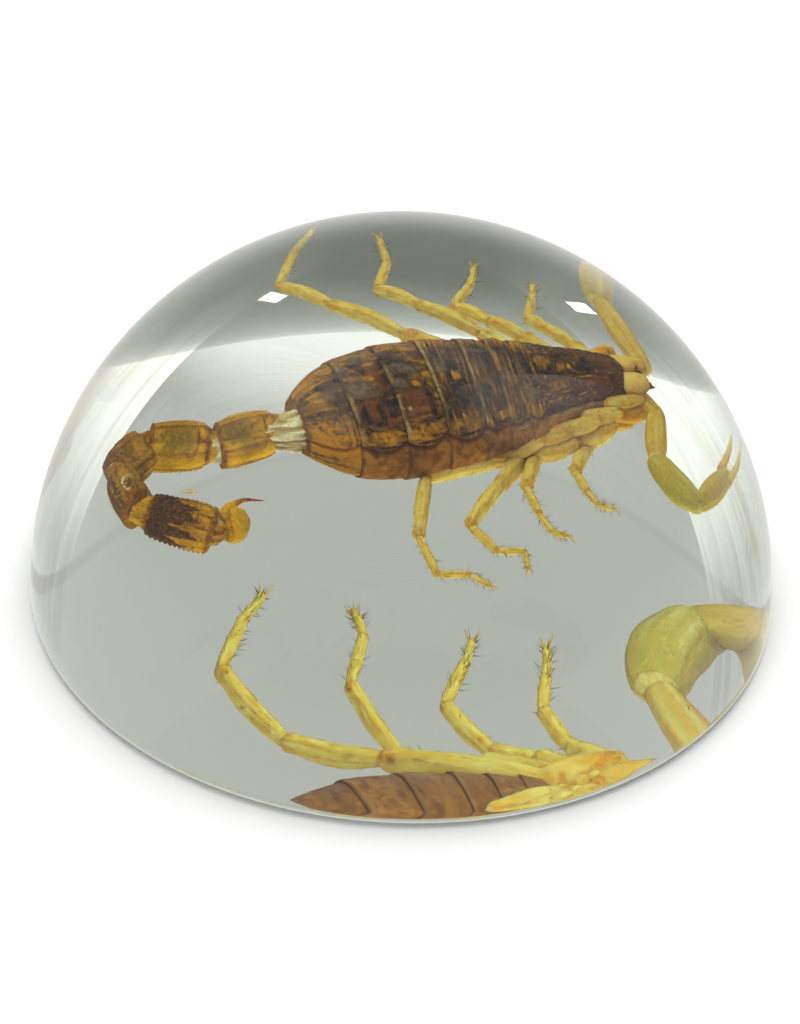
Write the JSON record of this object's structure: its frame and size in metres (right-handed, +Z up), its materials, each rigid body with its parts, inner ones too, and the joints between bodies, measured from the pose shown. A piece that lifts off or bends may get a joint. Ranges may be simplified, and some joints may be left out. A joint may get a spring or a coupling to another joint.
{
  "type": "resin dome paperweight",
  "caption": "Clear resin half-dome with a flat base, holding a dried scorpion with its tail curled beside its body and a loose flake of skin.",
  "frame": {"origin": "centre of the flat base", "axes": "+Z up out of the base through the top of the dome, +X roughly towards the scorpion's head, tail curled on the -Y side"},
  "size_m": [0.0668, 0.0668, 0.0335],
  "materials": {
    "resin": "clear cast resin, polished",
    "chitin": "dried shell, dark brown back, amber tail, pale yellow legs",
    "dry_skin": "thin pale dry skin"
  },
  "bodies": {
    "root": {"resin_lower": "resin", "resin_upper": "resin", "scorpion": "chitin", "loose_flake": "dry_skin"}
  },
  "joints": []
}
